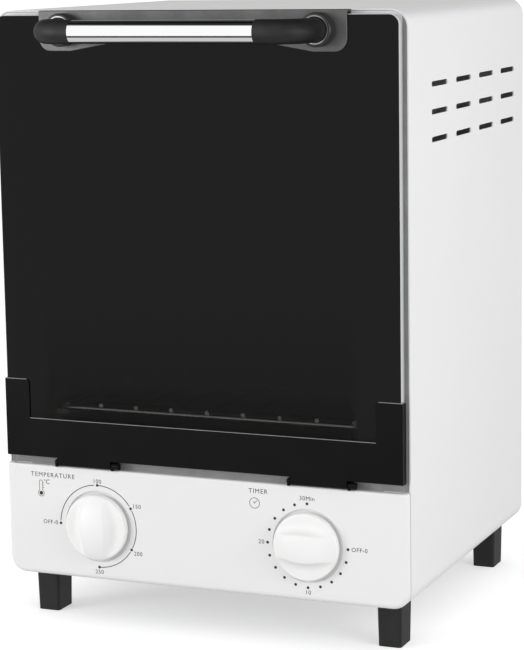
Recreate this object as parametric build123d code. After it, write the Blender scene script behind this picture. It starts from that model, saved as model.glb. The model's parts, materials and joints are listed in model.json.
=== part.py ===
from build123d import *
import os
from math import cos, radians

# Bench-top dry heat sterilizer: a tall steel cabinet on four feet, a heated chamber
# behind a glass door hinged along its bottom edge, and two dials on the panel below.
# X is the width, +Y points away from the user and +Z is up. The origin lies on the
# bench, under the middle of the whole appliance.

# ---------------------------------------------------------------- driving sizes (mm)
# Cabinet
body_width = 250.0
body_height = 330.0
body_depth = 220.5          # from the control panel's face to the cabinet's back edge
corner_radius = 10.0
sheet = 0.8
seam = 0.2                  # gap where two covers meet edge to edge
fit_gap = 0.2               # room round a sheet that is nested in another
shell_lip = 21.0            # the wrap-round cover's return under the cabinet
back_recess = 2.0
back_flange = 10.0
base_setback = 1.4          # base plate back from the control panel's rear edge

# Feet
foot_height = 26.5
foot_width = 13.6
foot_length = 17.4
foot_taper = 0.5            # how much each side spreads towards the cabinet
foot_corner = 1.6
foot_inset_side = 16.8      # cabinet's side to the foot's middle
foot_inset_end = 19.2       # cabinet's front or back edge to the foot's middle
foot_web = 6.0              # solid top of the hollow foot

# Control panel
panel_height = 66.4
panel_proud = 5.0           # panel's face ahead of the wrap-round cover
panel_bend = 3.4
ledge_bend = 1.3
ledge_run = 22.0            # ledge's reach behind the panel's face
panel_tab_length = 11.0
panel_tab_height = 40.0
ledge_slot_length = 11.5
ledge_slot_width = 3.4
ledge_slot_margin = 0.5      # front frame to the slot
ledge_slot_inset = 9.6      # cabinet's side to each slot's middle

# Dials and the controls behind them
dial_inset = 59.5           # cabinet's side to each dial's middle
dial_height = 32.4
dish_radius = 21.2
dish_depth = 1.2
knob_radius = 19.4
knob_flange = 2.0
knob_float = 0.8            # knob clear of its dish
knob_round = 0.9
knob_dome = 0.9
grip_foot = 13.2            # half widths of the grip, at the knob's face and at its crest
grip_crest = 6.4
grip_height = 8.6
grip_crown = 1.3            # crest's rise between its two edges
grip_edge = 0.9             # rounding of those edges
grip_end_gap = 0.5          # knob's rim to the grip's end
grip_end_round = 5.0
knob_hub_radius = 5.4
shaft_radius = 3.0
shaft_play = 0.05
shaft_in_knob = 9.0
bushing_radius = 5.0
bushing_length = 3.0
thermostat_width = 38.0
thermostat_height = 30.0
thermostat_depth = 20.0
blade_width = 6.3           # push-on terminals
blade_reach = 8.0
timer_radius = 22.0
timer_depth = 30.0
bell_radius = 19.0
bell_depth = 9.0
bell_flat = 11.4            # radius of the bell's flat crown
bell_rim_gap = 1.5          # timer's back to the bell's rim
control_screw_pitch = 28.0
control_screw_radius = 1.5
control_screw_head = 2.8
control_screw_length = 6.0

# Side and back vents
vent_length = 27.6
vent_width = 3.0
vent_pitch = 43.3
vent_row_pitch = 15.3
vent_rows = 3
vent_columns = 4
vent_first = 52.7           # cabinet's front edge to the first slot's middle
vent_drop = 42.3            # cabinet's top to the top row
back_vent_pitch = 50.0
base_vent_pitch = 30.0
base_vent_count = 5

# Chamber
chamber_side_gap = 27.0     # cabinet's side to the chamber's side wall
chamber_top_gap = 11.0
chamber_rear_gap = 19.0     # chamber's rear wall to the back panel's face
chamber_floor = 17.6        # ledge to the chamber's floor
chamber_corner = 6.0
rack_play = 0.5             # rack to the chamber's rear wall
liner_flange = 7.0
rib_reach = 7.0
rib_height = 3.0
rib_level = 13.6            # chamber's floor to the lowest rib's top
rib_pitch = 70.0
rib_count = 3
rib_margin = 8.0

# Wire rack
rack_side_play = 2.0        # rack to each side wall
rack_corner = 5.0
rack_frame_rod = 1.7        # radii
rack_bar_rod = 1.25
rack_bar_inset = 6.1        # rack's side to the first bar
rack_bar_count = 9
rack_bar_sink = 0.5         # weld depth of a bar into the frame
rack_bar_overhang = 1.2
rack_setback = 5.0          # front frame's back to the rack

# Front frame and door gap
frame_setback = 0.3         # frame's face behind the cover's front edge
frame_flange = 8.0
stay_slot_width = 6.0
stay_slot_low = 33.6        # ledge to the slot's bottom
stay_slot_high = 72.4       # ledge to the slot's top
stay_inset = 13.6           # cabinet's side to the stay

# Door
glass_side_gap = 2.9        # cabinet's side to the glass's edge
glass_thickness = 4.0
glass_top_gap = 2.4         # glass's top edge below the cabinet's top
glass_corner = 6.0
glass_edge = 0.5
glass_back_gap = 2.3        # glass's back face ahead of the front frame
rail_gap = 5.2              # ledge to the rail's underside
rail_height = 23.1
rail_back_height = 16.0
ear_width = 15.6
ear_height = 46.0
ear_corner = 2.5

# Hinges and stays
hinge_inset = 52.0          # cabinet's side to each hinge's middle
knuckle_width = 34.0
knuckle_clear = 0.35        # knuckle above the ledge
hinge_pin_radius = 1.25
hinge_play = 0.05
hinge_ear = 1.2
hinge_ear_gap = 0.5
hinge_ear_wall = 0.65
hinge_leaf_height = 13.0
pin_head_radius = 2.0
pin_head_length = 3.2
pin_tail = 0.6
stay_radius = 42.0          # middle of the curved stay, about the hinge
stay_depth = 8.0
stay_thickness = 1.5
stay_stop_angle = 9.3       # start of the stop, past the level of the hinge
stay_tail_angle = 13.5
stay_stop_width = 9.0
stay_foot_width = 11.0
stay_foot_height = 10.0
stay_foot_thickness = 1.2

# Handle
handle_plate_inset = 32.0   # cabinet's side to the plate's end
handle_plate_sheet = 1.2
handle_plate_end = 22.6
handle_plate_middle = 16.5
handle_plate_flat = 19.6
handle_plate_slope = 35.5
handle_plate_corner = 7.0
handle_plate_edge = 0.4     # rounding of its front edges
handle_drop = 10.6          # cabinet's top to the tube's middle
handle_reach = 33.8         # plate's face to the tube's middle
handle_tube_radius = 6.35
handle_tube_wall = 0.8
handle_post_inset = 16.0    # plate's end to each post's middle
handle_tube_setback = 22.3  # post's middle to the tube's end
handle_bend = 16.0
cap_radius = 6.65
cap_spigot = 12.0
spigot_gap = 0.05
collar_radius = 9.3
collar_depth = 7.0
collar_round = 1.2
collar_groove = 0.5         # room round the cap where it enters its collar
collar_groove_depth = 1.5
collar_seat = 2.5           # cap's depth in its collar
handle_screw_radius = 2.0
handle_screw_head = 3.8
handle_screw_head_depth = 0.7
handle_screw_bite = 9.0

# Heating tubes
heater_radius = 3.3
heater_lift = 6.5           # chamber's floor to the lower tubes
heater_drop = 14.0          # chamber's top to the upper tubes
heater_spread = 45.0        # tube's distance from the chamber's middle
heater_overhang = 8.0
heater_pin_radius = 1.2
heater_pin_length = 4.0
bushing_wall = 2.6
heater_bushing_length = 10.0
heater_play = 0.1

# Fasteners and rear fittings
screw_radius = 1.9
screw_play = 0.1
screw_head_radius = 3.5
screw_head_depth = 2.0
screw_length = 8.0
back_screw_inset = 14.0
gland_radius = 9.0
gland_neck = 6.5
gland_bore = 3.6
gland_length = 14.0
gland_inset = 43.0          # cabinet's side to the gland's middle
gland_height = 30.0
terminal_length = 42.0
terminal_depth = 17.0
terminal_height = 19.0
terminal_ways = 3
terminal_pocket = 3.2

# ---------------------------------------------------------------- shared places
overall_reach = handle_reach + cap_radius + handle_plate_sheet
glass_proud = frame_setback + panel_proud - glass_back_gap - glass_thickness
overall_depth = body_depth + overall_reach - glass_proud
panel_y = overall_depth / 2 - body_depth
shell_y = panel_y + panel_proud
back_y = panel_y + body_depth
back_face_y = back_y - back_recess
side_x = body_width / 2
floor_z = foot_height
top_z = floor_z + body_height
ledge_z = floor_z + panel_height
frame_y = shell_y + frame_setback
frame_back_y = frame_y + sheet
glass_back_y = frame_y - glass_back_gap
glass_y = glass_back_y - glass_thickness
glass_top_z = top_z - glass_top_gap
rail_y = glass_y - sheet
rail_z = ledge_z + rail_gap
glass_half = side_x - glass_side_gap
rail_half = glass_half + sheet
knuckle_radius = hinge_pin_radius + hinge_play + sheet
hinge_spread = side_x - hinge_inset
hinge_y = rail_y + knuckle_radius
hinge_z = ledge_z + knuckle_clear + knuckle_radius
chamber_half = side_x - chamber_side_gap
chamber_z = ledge_z + chamber_floor
chamber_top_z = top_z - chamber_top_gap
chamber_back_y = back_face_y - chamber_rear_gap
rack_half = chamber_half - rack_side_play
rack_y = frame_back_y + rack_setback
rack_back_y = chamber_back_y - rack_play
rack_z = chamber_z + rib_level + rack_frame_rod
dial_spread = side_x - dial_inset
dial_z = floor_z + dial_height
dish_back_y = panel_y + dish_depth + sheet
stay_offset = side_x - stay_inset
gland_offset = side_x - gland_inset
handle_plate_half = side_x - handle_plate_inset
handle_post = handle_plate_half - handle_post_inset
handle_tube_half = handle_post - handle_tube_setback
plate_y = glass_y - handle_plate_sheet
handle_y = plate_y - handle_reach
handle_z = top_z - handle_drop
heater_y = [(frame_back_y + chamber_back_y) / 2 + side * heater_spread for side in (-1, 1)]
sides = (-1, 1)


# ---------------------------------------------------------------- drawing helpers
def front_plane(y):
    """Drawing plane at depth y, seen by the user: its x is X and its y is Z."""
    return Plane(origin=(0, y, 0), x_dir=(1, 0, 0), z_dir=(0, -1, 0))


def side_plane(x):
    """Drawing plane at x, seen from the right: its x is Y and its y is Z."""
    return Plane(origin=(x, 0, 0), x_dir=(0, 1, 0), z_dir=(1, 0, 0))


def top_plane(z):
    return Plane(origin=(0, 0, z))


def front_solid(sketch, y_front, y_back):
    """Solid of a front view, between two depths."""
    return extrude(front_plane(y_back) * sketch, amount=y_back - y_front)


def side_solid(sketch, x_low, x_high):
    """Solid of a side view, between two places across the width."""
    return extrude(side_plane(x_low) * sketch, amount=x_high - x_low)


def block(x_span, y_span, z_span):
    """Plain block between two places along each axis."""
    size = [high - low for low, high in (x_span, y_span, z_span)]
    middle = [(high + low) / 2 for low, high in (x_span, y_span, z_span)]
    return Pos(*middle) * Box(*size)


def rod_y(x, z, radius, y_front, y_back):
    """Round rod that points away from the user."""
    return front_solid(Pos(x, z) * Circle(radius), y_front, y_back)


def rod_x(y, z, radius, x_low, x_high):
    """Round rod across the width."""
    return side_solid(Pos(y, z) * Circle(radius), x_low, x_high)


def rod_z(x, y, radius, z_low, z_high):
    """Upright round rod."""
    return extrude(top_plane(z_low) * Pos(x, y) * Circle(radius), amount=z_high - z_low)


def centred(count, pitch):
    """Places of a row of count items, evenly about zero."""
    return [(index - (count - 1) / 2) * pitch for index in range(count)]


def save(name, *solids):
    """Write one node, with its solids kept apart."""
    separate = [solid for shape in solids for solid in shape.solids()]
    node = separate[0] if len(separate) == 1 else Compound(children=separate)
    export_step(node, os.path.join("parts", name + ".step"))


# ---------------------------------------------------------------- cabinet
def cabinet_outline(inset):
    """Front view of the cabinet with its rounded corners, drawn in by inset."""
    middle_z = floor_z + body_height / 2
    outline = RectangleRounded(body_width - 2 * inset, body_height - 2 * inset,
                               corner_radius - inset)
    return Pos(0, middle_z) * outline


def side_vent_places():
    """Middle of each side slot, as depth and height."""
    return [(shell_y + vent_first + column * vent_pitch, top_z - vent_drop - row * vent_row_pitch)
            for row in range(vent_rows) for column in range(vent_columns)]


def outer_shell():
    """One sheet wrapped over the top and sides, with lips returned under the cabinet."""
    shell = front_solid(cabinet_outline(0) - cabinet_outline(sheet), shell_y, back_y)
    gap_half = side_x - corner_radius - shell_lip
    shell -= block((-gap_half, gap_half), (shell_y - 1, back_y + 1), (floor_z - 1, floor_z + sheet + 1))
    reach = side_x + 1
    for y, z in side_vent_places():
        shell -= side_solid(Pos(y, z) * SlotOverall(vent_length, vent_width), -reach, reach)
    for x, y in foot_places():
        shell -= rod_z(x, y, screw_radius + screw_play, floor_z - 1, floor_z + sheet + 1)
    return shell


def back_screw_places():
    """Screws round the back panel: one near each corner and one halfway up each side."""
    x = side_x - back_screw_inset
    z_low = floor_z + back_screw_inset
    z_high = top_z - back_screw_inset
    return [(side * x, z) for side in sides for z in (z_low, (z_low + z_high) / 2, z_high)]


def back_panel():
    """Flanged tray that closes the cabinet's back, with its vents and cord opening."""
    outer = cabinet_outline(sheet + fit_gap)
    inner = cabinet_outline(2 * sheet + fit_gap)
    panel = front_solid(outer, back_face_y - back_flange, back_face_y)
    panel -= front_solid(inner, back_face_y - back_flange - 1, back_face_y - sheet)
    for row in range(vent_rows):
        z = top_z - vent_drop - row * vent_row_pitch
        for x in centred(vent_columns, back_vent_pitch):
            slot = Pos(x, z) * SlotOverall(vent_length, vent_width)
            panel -= front_solid(slot, back_face_y - sheet - 1, back_face_y + 1)
    for x, z in back_screw_places():
        panel -= rod_y(x, z, screw_radius + screw_play, back_face_y - sheet - 1, back_face_y + 1)
    panel -= rod_y(-gland_offset, floor_z + gland_height, gland_neck,
                   back_face_y - sheet - 1, back_face_y + 1)
    return panel


def back_screws():
    """Pan-head screws of the back panel."""
    screws = []
    for x, z in back_screw_places():
        shank = rod_y(x, z, screw_radius, back_face_y - screw_length, back_face_y)
        head = rod_y(x, z, screw_head_radius, back_face_y, back_face_y + screw_head_depth)
        head = chamfer(head.faces().sort_by(Axis.Y)[-1].edges(), screw_head_depth / 3)
        screws.append(shank + head)
    return screws


def base_plate():
    """Floor of the control compartment, laid on the cover's lips."""
    half = side_x - corner_radius
    y_span = (shell_y + base_setback, back_face_y - back_flange - fit_gap)
    plate = block((-half, half), y_span, (floor_z + sheet, floor_z + 2 * sheet))
    y_middle = (y_span[0] + y_span[1]) / 2
    for side in sides:
        for x in centred(base_vent_count, base_vent_pitch):
            slot = top_plane(floor_z) * Pos(x, y_middle + side * vent_pitch) * SlotOverall(
                vent_length, vent_width, rotation=90)
            plate -= extrude(slot, amount=3 * sheet)
    for x, y in foot_places():
        plate -= rod_z(x, y, screw_radius + screw_play, floor_z, floor_z + 3 * sheet)
    return plate


# ---------------------------------------------------------------- feet
def foot_places():
    """Middle of each foot: left front, left rear, right front, right rear."""
    x = side_x - foot_inset_side
    ends = (shell_y + foot_inset_end, back_y - foot_inset_end)
    return [(side * x, y) for side in sides for y in ends]


def foot(x, y):
    """Moulded foot, slightly narrower at the bench, bored from below for its screw."""
    low = RectangleRounded(foot_width, foot_length, foot_corner)
    high = RectangleRounded(foot_width + 2 * foot_taper, foot_length + 2 * foot_taper, foot_corner)
    body = loft([top_plane(0) * Pos(x, y) * low, top_plane(foot_height) * Pos(x, y) * high])
    body -= rod_z(x, y, screw_head_radius + 2 * screw_play, -1, foot_height - foot_web)
    return body - rod_z(x, y, screw_radius + screw_play, 0, foot_height + 1)


def foot_screw(x, y):
    """Screw up through a foot, the cover's lip and the base plate."""
    seat_z = foot_height - foot_web
    shank = rod_z(x, y, screw_radius, seat_z, floor_z + 2 * sheet + screw_head_depth)
    return shank + rod_z(x, y, screw_head_radius, seat_z - screw_head_depth, seat_z)


# ---------------------------------------------------------------- control panel
def panel_outline(inset):
    """Front view of the control panel: the cabinet's outline below the ledge."""
    height = panel_height - inset
    band = Pos(0, floor_z + height / 2) * Rectangle(body_width, height)
    return cabinet_outline(inset) & band


def bent_cover(inset, y_back):
    """The panel's volume, drawn in by inset, with its folded front edges rounded."""
    front_y = panel_y + inset
    cover = front_solid(panel_outline(inset), front_y, y_back)
    rim = cover.faces().sort_by(Axis.Y)[0].edges()
    ledge_edge = rim.sort_by(Axis.Z)[-1]
    around = [edge for edge in rim if edge != ledge_edge]
    cover = fillet(around, panel_bend - inset)
    folded = cover.faces().sort_by(Axis.Y)[0].edges().sort_by(Axis.Z)[-1]
    return fillet(folded, ledge_bend - inset)


def control_panel():
    """Folded front cover: flat face, rounded edges, dished dial seats and the door's ledge."""
    back = shell_y - seam
    panel = bent_cover(0, back) - bent_cover(sheet, back + 1)
    inside = side_x - sheet - fit_gap
    panel += block((-inside, inside), (panel_y + panel_bend, panel_y + ledge_run), (ledge_z - sheet, ledge_z))
    tab_z = floor_z + corner_radius + sheet
    for side in sides:
        span = sorted((side * inside, side * (inside - sheet)))
        joggle = sorted((side * (side_x - sheet / 2), side * (inside - sheet)))
        z_span = (tab_z, tab_z + panel_tab_height)
        panel += block(span, (panel_y + panel_bend, panel_y + panel_bend + panel_tab_length), z_span)
        panel += block(joggle, (back - sheet, back), z_span)
        x = side * dial_spread
        panel += rod_y(x, dial_z, dish_radius + sheet, panel_y + sheet / 2, dish_back_y)
        panel -= rod_y(x, dial_z, dish_radius, panel_y - 1, panel_y + dish_depth)
        panel -= rod_y(x, dial_z, bushing_radius + fit_gap, panel_y, dish_back_y + 1)
        for offset in centred(2, control_screw_pitch):
            panel -= rod_y(x + offset, dial_z, control_screw_radius + screw_play, panel_y, dish_back_y + 1)
            panel -= control_screw_cone(x + offset)
        slot_x = side * (side_x - ledge_slot_inset)
        slot_y = frame_y - ledge_slot_margin - ledge_slot_width / 2
        slot = top_plane(ledge_z - 2 * sheet) * Pos(slot_x, slot_y) * SlotOverall(
            ledge_slot_length, ledge_slot_width)
        panel -= extrude(slot, amount=3 * sheet)
    return panel


def control_screw_cone(x):
    """Countersunk head of a control's screw, flush with the dish."""
    seat_y = panel_y + dish_depth
    cone = Cone(control_screw_radius, control_screw_head, sheet)
    return Pos(x, seat_y + sheet / 2, dial_z) * Rot(90, 0, 0) * cone


def control_screws():
    """Two countersunk screws for each control, hidden under its knob."""
    screws = []
    for side in sides:
        for offset in centred(2, control_screw_pitch):
            x = side * dial_spread + offset
            seat_y = panel_y + dish_depth
            shank = rod_y(x, dial_z, control_screw_radius, seat_y + sheet / 2, seat_y + control_screw_length)
            screws.append(shank + control_screw_cone(x))
    return screws


# ---------------------------------------------------------------- knobs and controls
def knob_grip(front):
    """Broad ridge right across the knob's face, with hollow flanks and rounded ends."""
    crest_y = front - grip_height
    edge_y = crest_y + grip_crown
    run = grip_foot - grip_crest
    rise = front - edge_y
    hollow_radius = (run ** 2 + rise ** 2) / (2 * rise)
    crown = ThreePointArc((-grip_crest, edge_y), (0, crest_y), (grip_crest, edge_y))
    right = RadiusArc(crown @ 1, (grip_foot, front), -hollow_radius)
    left = RadiusArc((-grip_foot, front), crown @ 0, -hollow_radius)
    root_y = front + knob_flange / 2
    root = Polyline(right @ 1, (grip_foot, root_y), (-grip_foot, root_y), left @ 0)
    section = make_face(crown + right + root + left)
    edges = [vertex for vertex in section.vertices() if abs(vertex.Y - edge_y) < 0.01]
    ridge = extrude(top_plane(-knob_radius) * fillet(edges, grip_edge), amount=2 * knob_radius)
    bounds = rod_y(0, 0, knob_radius - grip_end_gap, crest_y, root_y)
    bounds = fillet(bounds.faces().sort_by(Axis.Y)[0].edges(), grip_end_round)
    return ridge & bounds


def knob():
    """Round knob about the Y axis, its grip upright."""
    front = -knob_flange
    profile = Polyline((0, 0), (knob_radius, 0), (knob_radius, front + knob_flange / 3))
    shoulder = RadiusArc(profile @ 1, (knob_radius - knob_round, front), -knob_round)
    face = ThreePointArc(shoulder @ 1, (knob_radius / 2, front - knob_dome * 0.75), (0, front - knob_dome))
    outline = make_face(profile + shoulder + face + Line(face @ 1, (0, 0)))
    flange = revolve(outline, Axis.Y)
    turned = flange + knob_grip(front)
    hub = rod_y(0, 0, knob_hub_radius, 0, knob_float * 0.75)
    socket = rod_y(0, 0, shaft_radius, -shaft_in_knob + knob_float, knob_float)
    return turned + hub - socket


def place_knob(x, turn):
    """A knob at its dial, turned clockwise as the user sees it."""
    y = panel_y + dish_depth - knob_float
    return Pos(x, y, dial_z) * Rot(0, turn, 0) * knob()


def control_shaft(x):
    """Control's shaft, from inside its body into the knob."""
    knob_end = panel_y + dish_depth - shaft_in_knob
    body_end = dish_back_y + bushing_length + shaft_in_knob / 2
    return rod_y(x, dial_z, shaft_radius, knob_end, body_end)


def control_bushing(x):
    """Front bushing of a control, through the panel, with its shaft's bore to cut."""
    bushing = rod_y(x, dial_z, bushing_radius, dish_back_y - sheet, dish_back_y + bushing_length)
    end = dish_back_y + bushing_length + shaft_in_knob / 2 + fit_gap
    bore = rod_y(x, dial_z, shaft_radius + shaft_play, dish_back_y - 2 * sheet, end)
    return bushing, bore


def control_screw_bores(x):
    bores = []
    end = panel_y + dish_depth + control_screw_length + fit_gap
    for offset in centred(2, control_screw_pitch):
        bores.append(rod_y(x + offset, dial_z, control_screw_radius, dish_back_y - 1, end))
    return bores


def thermostat():
    """Thermostat's housing and its two blade terminals."""
    x = -dial_spread
    outline = Pos(x, dial_z) * RectangleRounded(thermostat_width, thermostat_height, 3.0)
    body = front_solid(outline, dish_back_y, dish_back_y + thermostat_depth)
    bushing, bore = control_bushing(x)
    body = body + bushing - bore
    for drill in control_screw_bores(x):
        body -= drill
    back = dish_back_y + thermostat_depth
    for offset in centred(2, thermostat_width / 2):
        middle = x + offset
        blade = block((middle - blade_width / 2, middle + blade_width / 2),
                      (back - 1, back + blade_reach), (dial_z - sheet / 2, dial_z + sheet / 2))
        body += blade
    return body


def timer_housing():
    """Clockwork timer's round can, with a flat to each side."""
    x = dial_spread
    flat = Rectangle(2 * timer_radius - 4, 2 * timer_radius)
    outline = Pos(x, dial_z) * (Circle(timer_radius) & flat)
    body = front_solid(outline, dish_back_y, dish_back_y + timer_depth)
    body = fillet(body.faces().sort_by(Axis.Y)[-1].edges(), 2.0)
    bushing, bore = control_bushing(x)
    body = body + bushing - bore
    for drill in control_screw_bores(x):
        body -= drill
    back = dish_back_y + timer_depth
    return body + rod_y(x, dial_z, shaft_radius, back - 1, back + bell_depth - sheet)


def timer_bell():
    """Domed bell on the timer's post."""
    back = dish_back_y + timer_depth + bell_depth
    rim = dish_back_y + timer_depth + bell_rim_gap
    inner_y = back - sheet
    outer = Polyline((0, back), (bell_flat, back))
    crown = ThreePointArc(outer @ 1, (bell_radius * 0.9, back - bell_depth / 5), (bell_radius, rim))
    inner = Polyline(crown @ 1, (bell_radius - sheet, rim), (bell_flat, inner_y), (0, inner_y))
    section = make_face(outer + crown + inner + Line((0, inner_y), (0, back)))
    return Pos(dial_spread, 0, dial_z) * revolve(section, Axis.Y)


# ---------------------------------------------------------------- front frame and chamber
def chamber_section(grow):
    """Front view of the chamber's inside, grown by a wall."""
    middle_z = (chamber_z + chamber_top_z) / 2
    height = chamber_top_z - chamber_z + 2 * grow
    return Pos(0, middle_z) * RectangleRounded(2 * (chamber_half + grow), height, chamber_corner + grow)


def stay_slot():
    """Upright slots in the front frame for the two door stays."""
    low = ledge_z + stay_slot_low
    high = ledge_z + stay_slot_high
    shape = SlotOverall(high - low, stay_slot_width, rotation=90)
    return Sketch() + [Pos(side * stay_offset, (low + high) / 2) * shape for side in sides]


def frame_outline(inset):
    """Front view of the frame: the cabinet's outline above the ledge."""
    z_low = ledge_z
    z_high = top_z
    band = Pos(0, (z_low + z_high) / 2) * Rectangle(body_width, z_high - z_low)
    return cabinet_outline(sheet + fit_gap + inset) & band


def front_frame():
    """Pressed frame round the chamber's mouth, with a flange back along the cover."""
    frame = front_solid(frame_outline(0), frame_y, frame_y + frame_flange)
    frame -= front_solid(frame_outline(sheet), frame_back_y, frame_y + frame_flange + 1)
    frame -= front_solid(chamber_section(0), frame_y - 1, frame_back_y + 1)
    return frame - front_solid(stay_slot(), frame_y - 1, frame_back_y + 1)


def rib_heights():
    """Top of each rack rib."""
    return [chamber_z + rib_level + level * rib_pitch for level in range(rib_count)]


def chamber_liner():
    """Heated box: five walls, a front flange and pressed ribs that carry the rack."""
    liner = front_solid(chamber_section(sheet), frame_back_y, chamber_back_y + sheet)
    liner += front_solid(chamber_section(liner_flange), frame_back_y, frame_back_y + sheet)
    liner -= front_solid(chamber_section(0), frame_back_y - 1, chamber_back_y)
    y_span = (frame_back_y + rib_margin, chamber_back_y - rib_margin)
    for top in rib_heights():
        for side in sides:
            inner = chamber_half - rib_reach
            span = sorted((side * inner, side * (chamber_half + sheet / 2)))
            rib = block(span, y_span, (top - rib_height, top))
            tips = rib.edges().filter_by(Axis.Z).filter_by(lambda edge: abs(edge.center().X) < inner + 1)
            liner += fillet(tips, rib_reach * 0.7)
    for y in heater_y:
        for z in heater_heights():
            liner -= rod_x(y, z, heater_radius + heater_play, -chamber_half - 2, chamber_half + 2)
    return liner


def heat_shield():
    """Sheet between the chamber and the controls, laid on the ledge, with folded ends."""
    half = chamber_half + liner_flange - 1
    back = back_face_y - sheet
    shield = block((-half, half), (frame_back_y, back), (ledge_z, ledge_z + sheet))
    for y in (frame_back_y, back - sheet):
        shield += block((-half, half), (y, y + sheet), (ledge_z, ledge_z + liner_flange))
    return shield


# ---------------------------------------------------------------- wire rack
def wire_rack():
    """Welded rack: a rounded frame rod, a cross rod and nine bars laid over them."""
    half = rack_half - rack_frame_rod
    y_front = rack_y + rack_frame_rod
    y_back = rack_back_y - rack_frame_rod
    middle_y = (y_front + y_back) / 2
    loop = top_plane(rack_z) * Pos(0, middle_y) * RectangleRounded(2 * half, y_back - y_front, rack_corner)
    path = loop.wires()[0]
    start = path.position_at(0)
    section = Plane(origin=start, z_dir=path.tangent_at(0)) * Circle(rack_frame_rod)
    rack = sweep(section, path=path)
    rack += rod_x(middle_y, rack_z, rack_frame_rod, -half, half)
    bar_z = rack_z + rack_frame_rod + rack_bar_rod - rack_bar_sink
    pitch = 2 * (rack_half - rack_bar_inset) / (rack_bar_count - 1)
    for x in centred(rack_bar_count, pitch):
        rack += rod_y(x, bar_z, rack_bar_rod, rack_y - rack_bar_overhang + rack_frame_rod,
                      rack_back_y + rack_bar_overhang - rack_frame_rod)
    return rack


# ---------------------------------------------------------------- heating tubes
def heater_heights():
    """Height of the lower and the upper tubes."""
    return (chamber_z + heater_lift, chamber_top_z - heater_drop)


def heating_tubes(z):
    """A pair of heating tubes across the chamber, each with a thin pin at both ends."""
    tubes = []
    end = chamber_half + sheet + heater_overhang
    for y in heater_y:
        tube = rod_x(y, z, heater_radius, -end, end)
        tubes.append(tube + rod_x(y, z, heater_pin_radius, -end - heater_pin_length, end + heater_pin_length))
    return tubes


def heater_bushings():
    """Ceramic bushings that hold each tube where it leaves the liner."""
    bushings = []
    inner = chamber_half + sheet
    for y in heater_y:
        for z in heater_heights():
            for side in sides:
                span = sorted((side * inner, side * (inner + heater_bushing_length)))
                ring = rod_x(y, z, heater_radius + bushing_wall, *span)
                bushings.append(ring - rod_x(y, z, heater_radius + heater_play / 4, *span))
    return bushings


# ---------------------------------------------------------------- door
def door_glass():
    """Dark toughened glass, its top corners rounded, drilled for the handle's screws."""
    z_low = rail_z + sheet
    outline = Pos(0, (z_low + glass_top_z) / 2) * Rectangle(2 * glass_half, glass_top_z - z_low)
    glass = front_solid(outline, glass_y, glass_back_y)
    top_corners = glass.edges().filter_by(Axis.Y).sort_by(Axis.Z)[-2:]
    glass = fillet(top_corners, glass_corner)
    faces = glass.faces().sort_by(Axis.Y)
    rims = [edge for edge in faces[0].edges() + faces[-1].edges() if edge.center().Z > z_low + 1]
    glass = chamfer(rims, glass_edge)
    hole_radius = handle_screw_radius + fit_gap
    for side in sides:
        glass -= rod_y(side * handle_post, handle_z, hole_radius, glass_y - 1, glass_back_y + 1)
    return glass


def rail_leaf(height):
    """Front view of one leaf of the rail: a low band with an ear up each side."""
    band = Pos(0, rail_z + height / 2) * Rectangle(2 * rail_half, height)
    leaf = Sketch() + band
    for side in sides:
        x = side * (rail_half - ear_width / 2)
        leaf += Pos(x, rail_z + ear_height / 2) * Rectangle(ear_width, ear_height)
    tips = [tip for tip in leaf.vertices() if tip.Y > rail_z + ear_height - 1 and abs(tip.X) < rail_half - 1]
    return fillet(tips, ear_corner)


def door_rail():
    """Black steel channel that holds the glass, with side ears and rolled hinge tabs."""
    back = glass_back_y + sheet
    rail = front_solid(rail_leaf(rail_height), rail_y, glass_y)
    rail += front_solid(rail_leaf(rail_back_height), glass_back_y, back)
    rail += block((-rail_half, rail_half), (rail_y, back), (rail_z, rail_z + sheet))
    for side in sides:
        span = sorted((side * rail_half, side * (rail_half - sheet)))
        rail += block(span, (rail_y, back), (rail_z, rail_z + ear_height))
    rail = fillet(rail.edges().filter_by(Axis.X).group_by(Axis.Z)[0].sort_by(Axis.Y)[0], sheet)
    for side in sides:
        span = (side * hinge_spread - knuckle_width / 2, side * hinge_spread + knuckle_width / 2)
        rail += block(span, (rail_y, glass_y), (hinge_z, rail_z + sheet))
        rail += rod_x(hinge_y, hinge_z, knuckle_radius, *span)
        rail -= rod_x(hinge_y, hinge_z, hinge_pin_radius + hinge_play, *span)
    return rail


def hinge_bracket(side):
    """Steel bracket on the front frame, with an ear each end of the knuckle."""
    outer = knuckle_width / 2 + hinge_ear_gap + hinge_ear
    middle = side * hinge_spread
    bracket = block((middle - outer, middle + outer), (frame_y - sheet, frame_y),
                    (ledge_z, ledge_z + hinge_leaf_height))
    ear_radius = hinge_pin_radius + hinge_ear_wall
    for end in sides:
        edge = middle + end * outer
        span = sorted((edge, edge - end * hinge_ear))
        low = ledge_z
        high = hinge_z + ear_radius
        arm = Pos((hinge_y + frame_y) / 2, (low + high) / 2) * Rectangle(frame_y - hinge_y, high - low)
        nose = Pos(hinge_y, hinge_z) * Circle(ear_radius)
        foot_block = Pos(hinge_y, (low + hinge_z) / 2) * Rectangle(2 * ear_radius, hinge_z - low)
        bracket += side_solid(arm + nose + foot_block, *span)
    return bracket - rod_x(hinge_y, hinge_z, hinge_pin_radius, middle - outer - 1, middle + outer + 1)


def hinge_pin(side):
    """Headed pin, pushed in from the right and riveted over on the left."""
    outer = knuckle_width / 2 + hinge_ear_gap + hinge_ear
    middle = side * hinge_spread
    pin = rod_x(hinge_y, hinge_z, hinge_pin_radius, middle - outer - pin_tail, middle + outer)
    head = rod_x(hinge_y, hinge_z, pin_head_radius, middle + outer, middle + outer + pin_head_length)
    return pin + head


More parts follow.
